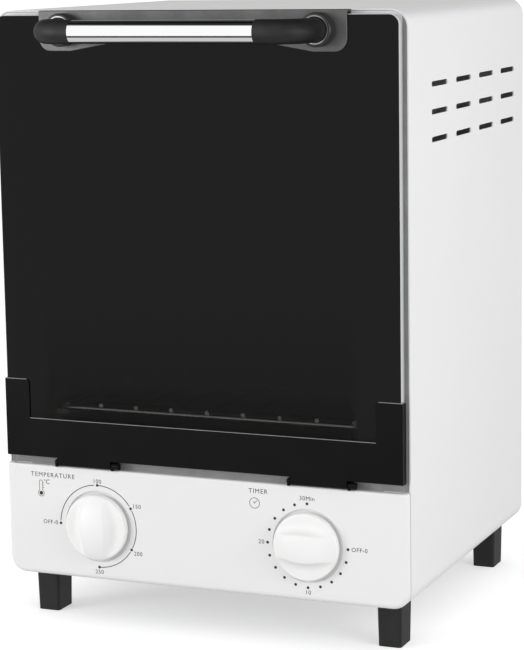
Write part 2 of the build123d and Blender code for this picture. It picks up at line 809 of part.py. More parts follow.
def door_stay(side):
    """Curved stay about the hinge, with a foot on the door's ear and a stop at its tail."""
    inner = stay_radius - stay_depth / 2
    outer = stay_radius + stay_depth / 2
    x = side * stay_offset
    root_y = glass_back_y + sheet
    turn = Pos(hinge_y, hinge_z)
    ring = turn * (Circle(outer) - Circle(inner))
    behind = Pos(root_y + outer, hinge_z) * Rectangle(2 * outer, 3 * outer)
    tail = -stay_tail_angle
    below = turn * Rot(0, 0, tail) * Pos(0, -2 * outer) * Rectangle(6 * outer, 4 * outer)
    curve = side_solid((ring & behind) - below, x - stay_thickness / 2, x + stay_thickness / 2)
    stop_area = turn * Rot(0, 0, -stay_stop_angle) * Pos(0, -2 * outer) * Rectangle(6 * outer, 4 * outer)
    stop = side_solid((ring & behind & stop_area) - below, x - stay_stop_width / 2, x + stay_stop_width / 2)
    foot_z = hinge_z + stay_radius
    plate = block((x - stay_foot_width / 2, x + stay_foot_width / 2), (root_y, root_y + stay_foot_thickness),
                  (foot_z - stay_foot_height / 2, foot_z + stay_foot_height / 2))
    return curve + stop + plate


# ---------------------------------------------------------------- handle
def plate_outline():
    """Front view of the handle's plate: deep at both ends and drawn up between them."""
    low = top_z - handle_plate_end
    arch = top_z - handle_plate_middle
    knee = handle_plate_half - handle_plate_flat
    rise = knee - handle_plate_slope
    half = handle_plate_half
    right = [(0, top_z), (half, top_z), (half, low), (knee, low), (rise, arch), (0, arch)]
    left = [(-x, z) for x, z in reversed(right[1:-1])]
    outline = make_face(Polyline(*right, *left, close=True))
    corners = [vertex for vertex in outline.vertices() if vertex.Y < low + 0.1 and abs(vertex.X) > half - 1]
    return fillet(corners, handle_plate_corner)


def handle_plate():
    """Steel clip folded over the glass's top edge, behind and in front, its front edges eased."""
    back = glass_back_y + handle_plate_sheet
    plate = front_solid(plate_outline(), plate_y, glass_y)
    plate += front_solid(plate_outline(), glass_back_y, back)
    web_z = top_z - handle_plate_sheet
    plate += block((-handle_plate_half, handle_plate_half), (plate_y, back), (web_z, top_z))
    plate = fillet(plate.faces().sort_by(Axis.Y)[0].edges(), handle_plate_edge)
    for side in sides:
        plate -= rod_y(side * handle_post, handle_z, handle_screw_radius + screw_play, plate_y - 1, back + 1)
    return plate


def handle_collars():
    """Bright turned collar under each end of the handle, grooved round the cap."""
    collars = []
    front = plate_y - collar_depth
    for side in sides:
        x = side * handle_post
        ring = rod_y(x, handle_z, collar_radius, front, plate_y)
        ring = fillet(ring.faces().sort_by(Axis.Y)[0].edges(), collar_round)
        ring -= rod_y(x, handle_z, cap_radius + collar_groove, front - 1, front + collar_groove_depth)
        ring -= rod_y(x, handle_z, cap_radius, front, front + collar_seat)
        ring -= rod_y(x, handle_z, handle_screw_radius + screw_play, front, plate_y + 1)
        collars.append(ring)
    return collars


def handle_tube():
    """Chromed tube between the two end caps."""
    half = handle_tube_half
    tube = rod_x(handle_y, handle_z, handle_tube_radius, -half, half)
    return tube - rod_x(handle_y, handle_z, handle_tube_radius - handle_tube_wall, -half - 1, half + 1)


def handle_cap(side):
    """Moulded elbow from the collar round to the tube, with a spigot into the tube."""
    post_x = side * handle_post
    tube_x = side * handle_tube_half
    seat_y = plate_y - collar_depth + collar_seat
    bend_x = post_x - side * handle_bend
    bend_y = handle_y + handle_bend
    slant = handle_bend * (1 - cos(radians(45)))
    leg = Line((post_x, seat_y, handle_z), (post_x, bend_y, handle_z))
    bend_middle = (post_x - side * slant, handle_y + slant, handle_z)
    bend = ThreePointArc(leg @ 1, bend_middle, (bend_x, handle_y, handle_z))
    path = Wire([leg, bend, Line(bend @ 1, (tube_x, handle_y, handle_z))])
    seat = Plane(origin=(post_x, seat_y, handle_z), x_dir=(1, 0, 0), z_dir=(0, -1, 0))
    elbow = sweep(seat * Circle(cap_radius), path=path)
    spigot_end = tube_x - side * cap_spigot
    span = sorted((spigot_end, tube_x + side))
    elbow += rod_x(handle_y, handle_z, handle_tube_radius - handle_tube_wall - spigot_gap, *span)
    return elbow - rod_y(post_x, handle_z, handle_screw_radius, seat_y - handle_screw_bite, seat_y + 1)


def handle_screws():
    """Thin-headed screws from behind the glass into the end caps."""
    screws = []
    back = glass_back_y + handle_plate_sheet
    front = plate_y - collar_depth + collar_seat - handle_screw_bite
    for side in sides:
        x = side * handle_post
        head = rod_y(x, handle_z, handle_screw_head, back, back + handle_screw_head_depth)
        screws.append(head + rod_y(x, handle_z, handle_screw_radius, front, back))
    return screws


# ---------------------------------------------------------------- rear fittings
def cord_gland():
    """Flanged bushing in the back panel where the mains lead enters."""
    z = floor_z + gland_height
    flange = rod_y(-gland_offset, z, gland_radius, back_face_y, back_y)
    flange = chamfer(flange.faces().sort_by(Axis.Y)[-1].edges(), back_recess / 3)
    neck = rod_y(-gland_offset, z, gland_neck - fit_gap, back_face_y - gland_length, back_face_y)
    return flange + neck - rod_y(-gland_offset, z, gland_bore, back_face_y - gland_length - 1, back_y + 1)


def terminal_block():
    """Three-way terminal block on the base plate, where the lead's wires end."""
    low = floor_z + 2 * sheet
    y = back_face_y - gland_length - terminal_depth
    body = block((-gland_offset - terminal_length / 2, -gland_offset + terminal_length / 2),
                 (y - terminal_depth / 2, y + terminal_depth / 2), (low, low + terminal_height))
    top = low + terminal_height
    for x in centred(terminal_ways, terminal_length / terminal_ways):
        body -= rod_z(x - gland_offset, y, terminal_pocket, top - terminal_height / 2, top + 1)
    return body


# ---------------------------------------------------------------- writing the nodes
os.makedirs("parts", exist_ok=True)

save("outer_shell", outer_shell())
save("back_panel", back_panel())
save("back_screws", *back_screws())
save("base_plate", base_plate())
for name, (foot_x, foot_y) in zip(("left_front", "left_rear", "right_front", "right_rear"), foot_places()):
    save(name + "_foot", foot(foot_x, foot_y))
save("foot_screws", *[foot_screw(x, y) for x, y in foot_places()])

save("control_panel", control_panel())
save("control_screws", *control_screws())
save("temperature_knob", place_knob(-dial_spread, 0))
save("temperature_shaft", control_shaft(-dial_spread))
save("thermostat", thermostat())
save("timer_knob", place_knob(dial_spread, 90))
save("timer_shaft", control_shaft(dial_spread))
save("timer_housing", timer_housing())
save("timer_bell", timer_bell())

save("front_frame", front_frame())
save("chamber_liner", chamber_liner())
save("heat_shield", heat_shield())
save("wire_rack", wire_rack())
for name, height in zip(("lower", "upper"), heater_heights()):
    save(name + "_heating_tubes", *heating_tubes(height))
save("heater_bushings", *heater_bushings())

save("door_glass", door_glass())
save("door_rail", door_rail())
for name, side in (("left", -1), ("right", 1)):
    save(name + "_hinge_bracket", hinge_bracket(side))
    save(name + "_hinge_pin", hinge_pin(side))
    save(name + "_door_stay", door_stay(side))
    save(name + "_handle_cap", handle_cap(side))
save("handle_plate", handle_plate())
save("handle_collars", *handle_collars())
save("handle_tube", handle_tube())
save("handle_screws", *handle_screws())

save("cord_gland", cord_gland())
save("terminal_block", terminal_block())

print("hinge axis y, z:", round(hinge_y, 3), round(hinge_z, 3))
print("panel face y:", round(panel_y, 3), " dial height:", round(dial_z, 3))
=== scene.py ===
import json
from math import asin, cos, pi, radians, sin

import bpy
from mathutils import Matrix, Vector


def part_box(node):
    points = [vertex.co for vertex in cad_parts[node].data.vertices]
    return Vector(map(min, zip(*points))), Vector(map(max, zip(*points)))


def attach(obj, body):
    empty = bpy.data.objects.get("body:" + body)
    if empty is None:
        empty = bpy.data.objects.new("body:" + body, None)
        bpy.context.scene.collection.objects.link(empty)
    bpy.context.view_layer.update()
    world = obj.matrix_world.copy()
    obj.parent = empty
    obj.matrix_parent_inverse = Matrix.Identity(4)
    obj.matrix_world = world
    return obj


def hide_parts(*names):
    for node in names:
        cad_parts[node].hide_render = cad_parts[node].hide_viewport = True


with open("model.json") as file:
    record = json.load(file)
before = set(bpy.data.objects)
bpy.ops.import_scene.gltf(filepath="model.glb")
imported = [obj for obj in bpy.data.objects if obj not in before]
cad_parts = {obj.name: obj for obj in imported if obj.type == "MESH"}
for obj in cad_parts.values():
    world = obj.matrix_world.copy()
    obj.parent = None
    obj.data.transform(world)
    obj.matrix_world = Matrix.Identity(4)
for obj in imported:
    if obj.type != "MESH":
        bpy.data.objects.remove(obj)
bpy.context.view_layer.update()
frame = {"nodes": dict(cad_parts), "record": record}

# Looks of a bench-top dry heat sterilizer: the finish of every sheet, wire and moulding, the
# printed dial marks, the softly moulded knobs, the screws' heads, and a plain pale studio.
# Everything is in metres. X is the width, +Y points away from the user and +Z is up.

MM = 0.001

# ---------------------------------------------------------------- sizes and places
# Print on the control panel. Places beside a dial are x and z from its middle.
ink_thickness = 0.03 * MM       # print stands this far out of the panel's face
ink_sink = 0.02 * MM            # and reaches this far into it
ink_depth = ink_thickness + ink_sink
ink_line = 0.46 * MM            # line that joins the left dial's dots
sign_line = 0.3 * MM            # lines of the thermometer and the clock
arc_facet = radians(4)          # turn of one straight stretch of a curved stroke
dot_radius = 0.85 * MM
temperature_circle = 24.5 * MM  # radius of the dots round the left dial
timer_circle = 24.2 * MM        # and round the right one
figure_height = 2.5 * MM
title_height = 2.7 * MM
capital_share = 0.72            # a capital's height as a share of the font's size
label_gap = 2.1 * MM            # dot's middle to the nearest end of its label
label_rise = 2.9 * MM           # dot's middle to the middle of a label above or below it
label_drop = 0.7 * MM           # some labels stand this much lower
label_spacing = 1.1             # letter spacing of the labels
temperature_title = (-29.0 * MM, 28.2 * MM)
degree_sign = (-33.2 * MM, 24.0 * MM)
thermometer_bulb = (-36.9 * MM, 17.1 * MM)
timer_title = (-29.6 * MM, 29.0 * MM)
clock_middle = (-31.8 * MM, 22.1 * MM)

# Screws
pan_head = (3.5 * MM, 2.0 * MM)     # radius and height of the back's and the feet's screw heads
truss_head = (3.8 * MM, 0.7 * MM)   # and of the handle's
shank_radius = 1.6 * MM
crown_share = 0.7               # rounding of a head's edge, as a share of its height
recess_width = 0.75 * MM
recess_reach = 1.15             # length of the cross, as a share of the head's radius
recess_share = 1.1              # height of the cross's cutter, of which half is in the head

# Knobs
knob_radius = 19.4 * MM
flange_depth = 4.6 * MM         # the knob's flange, from its back
hub_step = 0.6 * MM             # the hub stands this far out of the flange's back
hub_radius = 5.4 * MM
socket_radius = 3.0 * MM        # hole for the shaft
socket_depth = 9.0 * MM
dome_rounds = 16                # steps of the dome's slope
grip_half = 8.2 * MM            # half the grip's width, halfway along its crest
grip_bow = 36 * MM              # radius of the grip's bowed sides
hollow_share = 0.96             # the hollow's radius as a share of its depth
hollow_reach = 24 * MM          # the hollow's tool reaches this far out from the grip
hollow_sweep = radians(80)      # and this far round its side
tool_overlap = 1.0 * MM         # tools stand this far past what they cut or join
mould_grid = 0.4 * MM           # mesh size of the moulded knob
mould_rounds = 30               # smoothing passes that round its edges

# Marks of making, and painted highlights and shade
ear_rise = 22.9 * MM            # rail's top edge to the tops of its ears
ear_reach = 15.6 * MM           # width of an ear
highlight_edge = 0.3 * MM          # width of the painted highlight, bright metal along the rail's top edge
edge_slack = 0.1 * MM           # a pattern on a face reaches this far past it
glass_corner = 6.0 * MM         # radius of the glass's top corners
ground_edge = 0.35 * MM         # ground part of the glass's face along its rim, pale as frosted glass and as a painted highlight
panel_seam = 0.2 * MM           # control panel's back edge to the cover's front edge
seam_shade_width = 0.6 * MM             # width of the painted shadow line along the control panel's folded sides
panel_side = 0.9 * MM           # and the sheet of those sides, from outside
rim_shade = 2.4 * MM            # width of the painted shade round the front frame's rim
foot_shade = 6.5 * MM           # and of the painted shade along its lowest stretch
collar_radius = 9.3 * MM
collar_highlight = (7.2 * MM, 7.75 * MM)     # inner and outer radius of a collar's bright ring, a painted highlight
highlight_depth = 0.5 * MM           # the ring lies within this much of the collar's front

panel_low, panel_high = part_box("control_panel")
panel_y = panel_low.y
shell_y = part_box("outer_shell")[0].y
glass_low, glass_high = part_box("door_glass")
rail_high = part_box("door_rail")[1]
frame_low, frame_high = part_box("front_frame")
plate_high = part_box("handle_plate")[1]
collar_low, collar_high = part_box("handle_collars")
liner_low, liner_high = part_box("chamber_liner")

# Studio
floor_flag = (-0.60, -0.38)     # stretch of floor ahead that gloss sees dark, as a black card throws it
flag_dark = 0.96                # share of the floor's white that gloss misses on that strip
near_dull = 0.40                # and from there on, under and behind the object, a painted shadow that gloss sees
floor_grey = 0.8
floor_glow = 0.46               # light added to the floor where the camera sees it
plain_level = 0.73              # the walls' even light on the object
camera_place = Vector((519.7, -1222.2, 389.2)) * MM
camera_yaw = radians(22.94)
camera_dip = radians(9.51)
camera_roll = radians(-0.95)
camera_lens = 124.5


def dial_centre(knob):
    """Middle of a knob, on the panel's face."""
    low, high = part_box(knob)
    return Vector(((low.x + high.x) / 2, panel_y, (low.z + high.z) / 2))


# ---------------------------------------------------------------- shader helpers
class Signal:
    """An output of a shader node. Arithmetic on values adds Math nodes."""

    def __init__(self, shader, output):
        self.shader = shader
        self.output = output

    def joined(self, operation, first, second):
        return self.shader.node("Math", {"operation": operation}, {0: first, 1: second})

    def __add__(self, other):
        return self.joined("ADD", self, other)

    def __radd__(self, other):
        return self.joined("ADD", other, self)

    def __sub__(self, other):
        return self.joined("SUBTRACT", self, other)

    def __rsub__(self, other):
        return self.joined("SUBTRACT", other, self)

    def __mul__(self, other):
        return self.joined("MULTIPLY", self, other)

    def __rmul__(self, other):
        return self.joined("MULTIPLY", other, self)

    def __gt__(self, other):
        return self.joined("GREATER_THAN", self, other)

    def __lt__(self, other):
        return self.joined("LESS_THAN", self, other)

    def __pow__(self, other):
        return self.joined("POWER", self, other)

    def __abs__(self):
        return self.shader.node("Math", {"operation": "ABSOLUTE"}, {0: self})


class Shader:
    """A node tree that is being built for a material or for the studio round the object."""

    def __init__(self, owner):
        owner.use_nodes = True
        self.owner = owner
        self.tree = owner.node_tree
        self.tree.nodes.clear()

    def node(self, kind, settings=None, inputs=None, output=0):
        """Add a node: first its settings, then the value or link of each input socket."""
        made = self.tree.nodes.new("ShaderNode" + kind)
        for name, value in (settings or {}).items():
            if name == "stops":
                self.set_stops(made.color_ramp.elements, value)
            else:
                setattr(made, name, value)
        for socket, value in (inputs or {}).items():
            if isinstance(value, Signal):
                self.tree.links.new(value.output, made.inputs[socket])
            else:
                made.inputs[socket].default_value = value
        return Signal(self, made.outputs[output])

    def set_stops(self, elements, stops):
        """Give a new colour ramp, which has two elements, its own stops."""
        while len(elements) < len(stops):
            elements.new(1.0)
        for element, (place, shade) in zip(elements, stops):
            element.position = place
            element.color = tint(shade)

    def place(self, x=1.0, y=1.0, z=1.0):
        """The point on the object, in metres, with each axis stretched by a factor."""
        point = self.node("TexCoord", output="Object")
        return self.node("Mapping", {}, {"Vector": point, "Scale": (x, y, z)})

    def along(self, axis):
        """The point's own coordinate along X, Y or Z, in metres."""
        return self.node("SeparateXYZ", {}, {0: self.node("TexCoord", output="Object")}, axis)

    def cloud(self, size, detail=2.0, roughness=0.5, place=None):
        """Soft noise from 0 to 1 whose patches are about size metres across."""
        inputs = {"Vector": place or self.place(), "Scale": 1 / size, "Detail": detail,
                  "Roughness": roughness}
        return self.node("TexNoise", {}, inputs)

    def cells(self, size, output="Distance"):
        """Packed cells about size metres across."""
        return self.node("TexVoronoi", {}, {"Vector": self.place(), "Scale": 1 / size}, output)

    def ramp(self, value, *stops):
        """A value or colour that follows stops, each a place from 0 to 1 and a shade."""
        return self.node("ValToRGB", {"stops": stops}, {0: value})

    def between(self, share, low, high):
        """Colour between two others."""
        sides = {0: share, 6: tint(low), 7: tint(high)}
        return self.node("Mix", {"data_type": "RGBA"}, sides, output=2)

    def bump(self, height, depth, strength=1.0):
        """Normal of a surface whose relief is depth metres deep."""
        return self.node("Bump", {}, {"Height": height, "Distance": depth, "Strength": strength})

    def surface(self, **inputs):
        """Finish the material with one glossy, metallic or clear surface."""
        sockets = {name.replace("_", " ").title().replace("Ior", "IOR"): value
                   for name, value in inputs.items()}
        self.end("OutputMaterial", self.node("BsdfPrincipled", {}, sockets))
        return self.owner

    def end(self, kind, closure):
        """Add the tree's output node and link the finished surface to it."""
        made = self.tree.nodes.new("ShaderNode" + kind)
        self.tree.links.new(closure.output, made.inputs["Surface"])


def tint(shade):
    """Colour of a grey level or of three parts, as a socket takes it."""
    if isinstance(shade, Signal):
        return shade
    return (*shade, 1.0) if isinstance(shade, tuple) else (shade, shade, shade, 1.0)


def new_shader(name):
    """Shader of a new material."""
    return Shader(bpy.data.materials.new(name))


# ---------------------------------------------------------------- finishes
enamel_low = (0.825, 0.825, 0.823)
enamel_high = (0.845, 0.845, 0.843)


def white_enamel():
    """Gloss white enamel baked on sheet steel."""
    return enamelled(new_shader("white_enamel"), enamel_low, enamel_high)


def enamelled(shader, low, high):
    """Gloss enamel with faint orange peel, whose colour drifts between two shades."""
    drift = shader.cloud(120 * MM, detail=1)
    peel = shader.cloud(3.0 * MM, detail=1)
    handled = shader.cloud(40 * MM, detail=2)
    return shader.surface(
        base_color=shader.between(drift, low, high),
        roughness=0.24 + 0.04 * handled,
        normal=shader.bump(peel, 0.003 * MM))


def frame_enamel():
    """The same enamel on the door's frame, greyed round its rim and low down with painted shade."""
    shader = new_shader("frame_enamel")
    # painted shade: the frame greys round its rim and along its lowest stretch, where the door's gap
    # shades it
    rim = abs(shader.along("X")) > frame_high.x - rim_shade
    foot = shader.along("Z") < frame_low.z + foot_shade
    stain_and_shade = (rim + foot) * (0.8 + 0.2 * shader.cloud(12 * MM))
    white = (0.835, 0.835, 0.833)
    return enamelled(shader, shader.between(stain_and_shade, white, 0.22), shader.between(stain_and_shade, white, 0.29))


def panel_enamel():
    """The same enamel on the control panel, with a painted shadow line along its cut edges where it
    meets the cover's sides.
    """
    shader = new_shader("panel_enamel")
    edge_middle = shell_y - panel_seam - seam_shade_width / 2
    at_edge = abs(shader.along("Y") - edge_middle) < seam_shade_width / 2
    # painted shadow line along the seam where the panel meets the cover's sides
    seam_shade = at_edge * (abs(shader.along("X")) > panel_high.x - panel_side)
    dark = 0.22
    return enamelled(shader, shader.between(seam_shade, enamel_low, dark),
                     shader.between(seam_shade, enamel_high, dark))


def zinc_plate(name="zinc_plate", warmth=0.0):
    """Bright zinc on small steel parts, slightly blotched."""
    shader = new_shader(name)
    blotch = shader.cloud(2.5 * MM, detail=5, roughness=0.65)
    grain = shader.cloud(0.35 * MM, detail=2)
    return shader.surface(
        base_color=shader.between(blotch, (0.50, 0.50, 0.49 - warmth), (0.72, 0.72, 0.73 - warmth)),
        metallic=1.0,
        roughness=0.24 + 0.2 * blotch,
        normal=shader.bump(grain, 0.01 * MM))


def coated_sheet():
    """Aluminised sheet: small spangles with rolling lines drawn front to back."""
    shader = new_shader("coated_sheet")
    spangle = shader.cells(2.6 * MM, "Color")
    rolling = shader.cloud(0.5 * MM, detail=3, place=shader.place(1.0, 0.04, 1.0))
    stain_and_shade = shader.cloud(55 * MM, detail=5, roughness=0.6)
    share = 0.5 * shader.node("RGBToBW", {}, {0: spangle}) + 0.5 * stain_and_shade
    return shader.surface(
        base_color=shader.between(share, (0.25, 0.25, 0.245), (0.42, 0.42, 0.43)),
        metallic=1.0,
        roughness=0.30 + 0.22 * rolling,
        normal=shader.bump(rolling, 0.02 * MM))


def liner_sheet():
    """The chamber's wall: brushed sheet, straw-tinted by heat low down and up at the top."""
    shader = new_shader("liner_sheet")
    brushed = shader.cloud(0.6 * MM, detail=4, place=shader.place(1.0, 0.03, 1.0))
    cloudy = shader.cloud(40 * MM, detail=4)
    height = (shader.along("Z") - liner_low.z) * (1 / (liner_high.z - liner_low.z))
    heat = shader.ramp(height + 0.12 * cloudy, (0.02, 1.0), (0.24, 0.0), (0.86, 0.0), (1.0, 0.8))
    steel = shader.between(cloudy, (0.42, 0.42, 0.42), (0.58, 0.58, 0.585))
    return shader.surface(
        base_color=shader.between(0.35 * heat, steel, (0.46, 0.36, 0.22)),
        metallic=0.6,
        roughness=0.42 + 0.2 * brushed,
        normal=shader.bump(brushed, 0.03 * MM))


def black_moulding():
    """Matt black moulded plastic with a fine sand-blasted grain."""
    shader = new_shader("black_moulding")
    grain = shader.cells(0.7 * MM)
    handled = shader.cloud(5 * MM, detail=6, roughness=0.7)
    return shader.surface(
        base_color=shader.between(handled, 0.006, 0.022),
        roughness=0.42 + 0.2 * handled,
        specular_ior_level=0.32,
        normal=shader.bump(grain, 0.05 * MM, 0.6))


def white_moulding():
    """Satin white plastic of the dials, with faint flow lines and a fine grain."""
    shader = new_shader("white_moulding")
    flow = shader.cloud(9 * MM, detail=2, place=shader.place(1.0, 1.0, 0.35))
    grain = shader.cloud(0.5 * MM, detail=2)
    return shader.surface(
        base_color=shader.between(flow, (0.87, 0.87, 0.865), (0.91, 0.91, 0.908)),
        roughness=0.42 + 0.1 * flow,
        normal=shader.bump(grain, 0.008 * MM))


def phenolic():
    """Dark brown control bodies with pale flecks of filler."""
    shader = new_shader("phenolic")
    fleck = shader.cells(1.1 * MM)
    cloudy = shader.cloud(8 * MM, detail=3)
    base = shader.between(cloudy, (0.030, 0.021, 0.016), (0.055, 0.040, 0.030))
    return shader.surface(
        base_color=shader.between(fleck < 0.16, base, (0.16, 0.12, 0.09)),
        roughness=0.42 + 0.15 * cloudy,
        normal=shader.bump(fleck, 0.02 * MM))


def rack_plating():
    """Bright plating on drawn wire, dulled a little by heat."""
    shader = new_shader("rack_plating")
    dull = shader.cloud(14 * MM, detail=5, roughness=0.6)
    pits = shader.cells(0.8 * MM)
    return shader.surface(
        base_color=shader.between(dull, (0.66, 0.64, 0.60), (0.84, 0.84, 0.84)),
        metallic=1.0,
        roughness=0.08 + 0.12 * dull,
        normal=shader.bump(pits, 0.015 * MM, 0.5))


def heated_tube():
    """Sheath of a heating tube: steel turned straw, brown and blue-grey in bands."""
    shader = new_shader("heated_tube")
    cloudy = shader.cloud(18 * MM, detail=4, place=shader.place(1.0, 3.0, 3.0))
    tone = shader.ramp(cloudy, (0.30, (0.20, 0.19, 0.19)), (0.45, (0.27, 0.23, 0.19)),
                       (0.58, (0.34, 0.31, 0.27)), (0.72, (0.17, 0.18, 0.21)))
    scale = shader.cloud(0.9 * MM, detail=4)
    return shader.surface(
        base_color=tone,
        metallic=0.85,
        roughness=0.38 + 0.2 * scale,
        normal=shader.bump(scale, 0.03 * MM))


def ceramic():
    """Unglazed white ceramic with a few darker specks."""
    shader = new_shader("ceramic")
    speck = shader.cells(1.6 * MM)
    grain = shader.cloud(0.4 * MM, detail=3)
    return shader.surface(
        base_color=shader.between(speck < 0.08, (0.80, 0.77, 0.70), (0.42, 0.38, 0.32)),
        roughness=0.62 + 0.16 * grain,
        normal=shader.bump(grain, 0.04 * MM))


def dark_glass():
    """Dark tinted toughened glass with ground edges, pale as frosted glass and as a painted highlight;
    the tint is thinnest low down.
    """
    shader = new_shader("dark_glass")
    height = (shader.along("Z") - glass_low.z) * (1 / (glass_high.z - glass_low.z))
    smear = shader.cloud(45 * MM, detail=5, roughness=0.6)
    aside = abs(shader.along("X"))
    past_side = aside - (glass_high.x - glass_corner)
    past_top = shader.along("Z") - (glass_high.z - glass_corner)
    out = 0.5 * (past_side + abs(past_side))
    up = 0.5 * (past_top + abs(past_top))
    # ground rim: frosted glass, made pale enough to stand as a painted highlight
    ground_and_highlight = (out * out + up * up) ** 0.5 > glass_corner - ground_edge
    low = shader.ramp(height, (0.12, 1.0), (0.19, 0.30), (0.40, 0.0))
    window = shader.ramp(aside * (1 / glass_high.x), (0.75, 1.0), (0.80, 0.0))
    body = 0.985 - low * (0.045 + 0.52 * window)
    return shader.surface(
        base_color=shader.between(ground_and_highlight, (0.0015, 0.0015, 0.0017), (0.55, 0.57, 0.56)),
        roughness=0.03 + 0.03 * smear + 0.3 * ground_and_highlight,
        alpha=body + ground_and_highlight,
        specular_ior_level=0.18)


def black_enamel():
    """Semi-gloss black on the rail and the hinges, with a painted highlight of bright metal along the
    rail's top edges.
    """
    shader = new_shader("black_enamel")
    texture = shader.cloud(0.7 * MM, detail=2)
    handled = shader.cloud(22 * MM, detail=5, roughness=0.65)
    height = shader.along("Z")
    between_ears = abs(shader.along("X")) < rail_high.x - ear_reach
    middle_top = rail_high.z - ear_rise
    # painted highlight: bright metal along the top edge between the ears and along the ears' tops
    middle_edge = (height > middle_top - highlight_edge) * (height < middle_top + edge_slack) * between_ears
    painted_highlight = (middle_edge + (height > rail_high.z - highlight_edge)) * (0.55 + 0.45 * shader.cloud(9 * MM))
    return shader.surface(
        base_color=shader.between(painted_highlight, shader.between(handled, 0.003, 0.0055), (0.42, 0.42, 0.43)),
        metallic=0.8 * painted_highlight,
        roughness=0.34 + 0.12 * handled,
        specular_ior_level=0.1,
        normal=shader.bump(texture, 0.012 * MM, 0.7))


def satin_steel():
    """Dark satin steel of the handle's plate, brushed along its length, with painted shade darkening its
    folded top.
    """
    shader = new_shader("satin_steel")
    brushed = shader.cloud(0.35 * MM, detail=4, place=shader.place(0.02, 1.0, 1.0))
    mottle = shader.cloud(16 * MM, detail=5, roughness=0.65)
    steel = shader.between(mottle, (0.075, 0.075, 0.077), (0.19, 0.19, 0.192))
    # painted shade: the plate's folded top is coloured near black
    top_shade = shader.along("Z") > plate_high.z - edge_slack
    return shader.surface(
        base_color=shader.between(top_shade, steel, 0.012),
        metallic=1.0,
        roughness=0.36 + 0.2 * brushed,
        normal=shader.bump(brushed, 0.02 * MM))


def chrome():
    """Mirror chrome with faint wipe marks along the tube."""
    shader = new_shader("chrome")
    wipe = shader.cloud(1.2 * MM, detail=5, place=shader.place(0.04, 1.0, 1.0))
    haze = shader.cloud(30 * MM, detail=4)
    return shader.surface(
        base_color=shader.between(haze, (0.94, 0.94, 0.943), (0.98, 0.98, 0.982)),
        metallic=1.0,
        roughness=0.035 + 0.05 * wipe * haze)


def ringed_collar():
    """Black collar under the handle, with one bright metal ring round the cap as a painted highlight."""
    shader = new_shader("ringed_collar")
    post = collar_high.x - collar_radius
    aside = abs(shader.along("X")) - post
    above = shader.along("Z") - (collar_low.z + collar_high.z) / 2
    reach = (aside * aside + above * above) ** 0.5
    inner, outer = collar_highlight
    # painted highlight: a bright metal ring near the collar's front, round the cap
    ring = (reach > inner) * (reach < outer) * (shader.along("Y") < collar_low.y + highlight_depth)
    wear = shader.cloud(3 * MM, detail=4)
    return shader.surface(
        base_color=shader.between(ring, shader.between(wear, 0.012, 0.03), (0.50, 0.50, 0.51)),
        metallic=ring,
        roughness=0.26 + 0.12 * wear)


def moulded_ivory():
    """Terminal block's pale plastic."""
    shader = new_shader("moulded_ivory")
    cloudy = shader.cloud(6 * MM, detail=3)
    grain = shader.cells(0.5 * MM)
    return shader.surface(
        base_color=shader.between(cloudy, (0.72, 0.70, 0.63), (0.80, 0.79, 0.73)),
        roughness=0.40 + 0.12 * cloudy,
        normal=shader.bump(grain, 0.02 * MM, 0.5))


def print_ink():
    """Near-black screen-printing ink, a little uneven where the screen's mesh showed."""
    shader = new_shader("print_ink")
    mesh = shader.cloud(0.4 * MM, detail=3)
    return shader.surface(
        base_color=shader.between(mesh, (0.008, 0.008, 0.009), (0.02, 0.02, 0.021)),
        roughness=0.48 + 0.2 * mesh,
        normal=shader.bump(mesh, 0.004 * MM))


slot_finishes = {
    "white_paint": white_enamel(),
    "plated_steel": zinc_plate(),
    "bare_steel": coated_sheet(),
    "black_plastic": black_moulding(),
    "white_plastic": white_moulding(),
    "control_plastic": phenolic(),
    "bell_steel": zinc_plate("bell_steel", warmth=0.06),
    "rack_wire": rack_plating(),
    "heater_steel": heated_tube(),
    "white_ceramic": ceramic(),
    "dark_glass": dark_glass(),
    "black_steel": black_enamel(),
    "grey_steel": satin_steel(),
    "bright_chrome": chrome(),
    "terminal_plastic": moulded_ivory(),
}
node_finishes = {
    "chamber_liner": liner_sheet(),
    "front_frame": frame_enamel(),
    "control_panel": panel_enamel(),
    "handle_collars": ringed_collar(),
}
ink = print_ink()


def dress(piece, finish):
    """Give a piece one finish, whatever it wore before."""
    piece.data.materials.clear()
    piece.data.materials.append(finish)


slots = {part["node"]: part["material_slot"] for part in frame["record"]["subparts"]}
for node_name, node_object in frame["nodes"].items():
    dress(node_object, node_finishes.get(node_name, slot_finishes[slots[node_name]]))


# ---------------------------------------------------------------- modelling helpers
def alone(piece):
    """Select one piece and nothing else."""
    bpy.ops.object.select_all(action="DESELECT")
    piece.select_set(True)
    bpy.context.view_layer.objects.active = piece
    return piece


def added():
    """The object that an operator has just added, alone in the selection."""
    return alone(bpy.context.object)


def settle(piece):
    """Put a piece's place, turn and size into its mesh."""
    alone(piece)
    bpy.ops.object.transform_apply(location=True, rotation=True, scale=True)
    return piece


def join(name, pieces):
    """One object of several."""
    whole = alone(pieces[0])
    for piece in pieces:
        piece.select_set(True)
    bpy.ops.object.join()
    whole.name = name
    whole.data.name = name
    return whole


def copy_of(piece):
    """A copy with its own mesh."""
    twin = piece.copy()
    twin.data = piece.data.copy()
    bpy.context.collection.objects.link(twin)
    return twin


def edit(piece, operator, **settings):
    """Run one edit-mode operator on all of a piece's mesh, and clean the mesh up."""
    alone(piece)
    bpy.ops.object.mode_set(mode="EDIT")
    bpy.ops.mesh.select_all(action="SELECT")
    operator(**settings)
    bpy.ops.mesh.select_all(action="SELECT")
    bpy.ops.mesh.remove_doubles(threshold=0.001 * MM)
    bpy.ops.mesh.normals_make_consistent(inside=False)
    bpy.ops.object.mode_set(mode="OBJECT")
    return piece


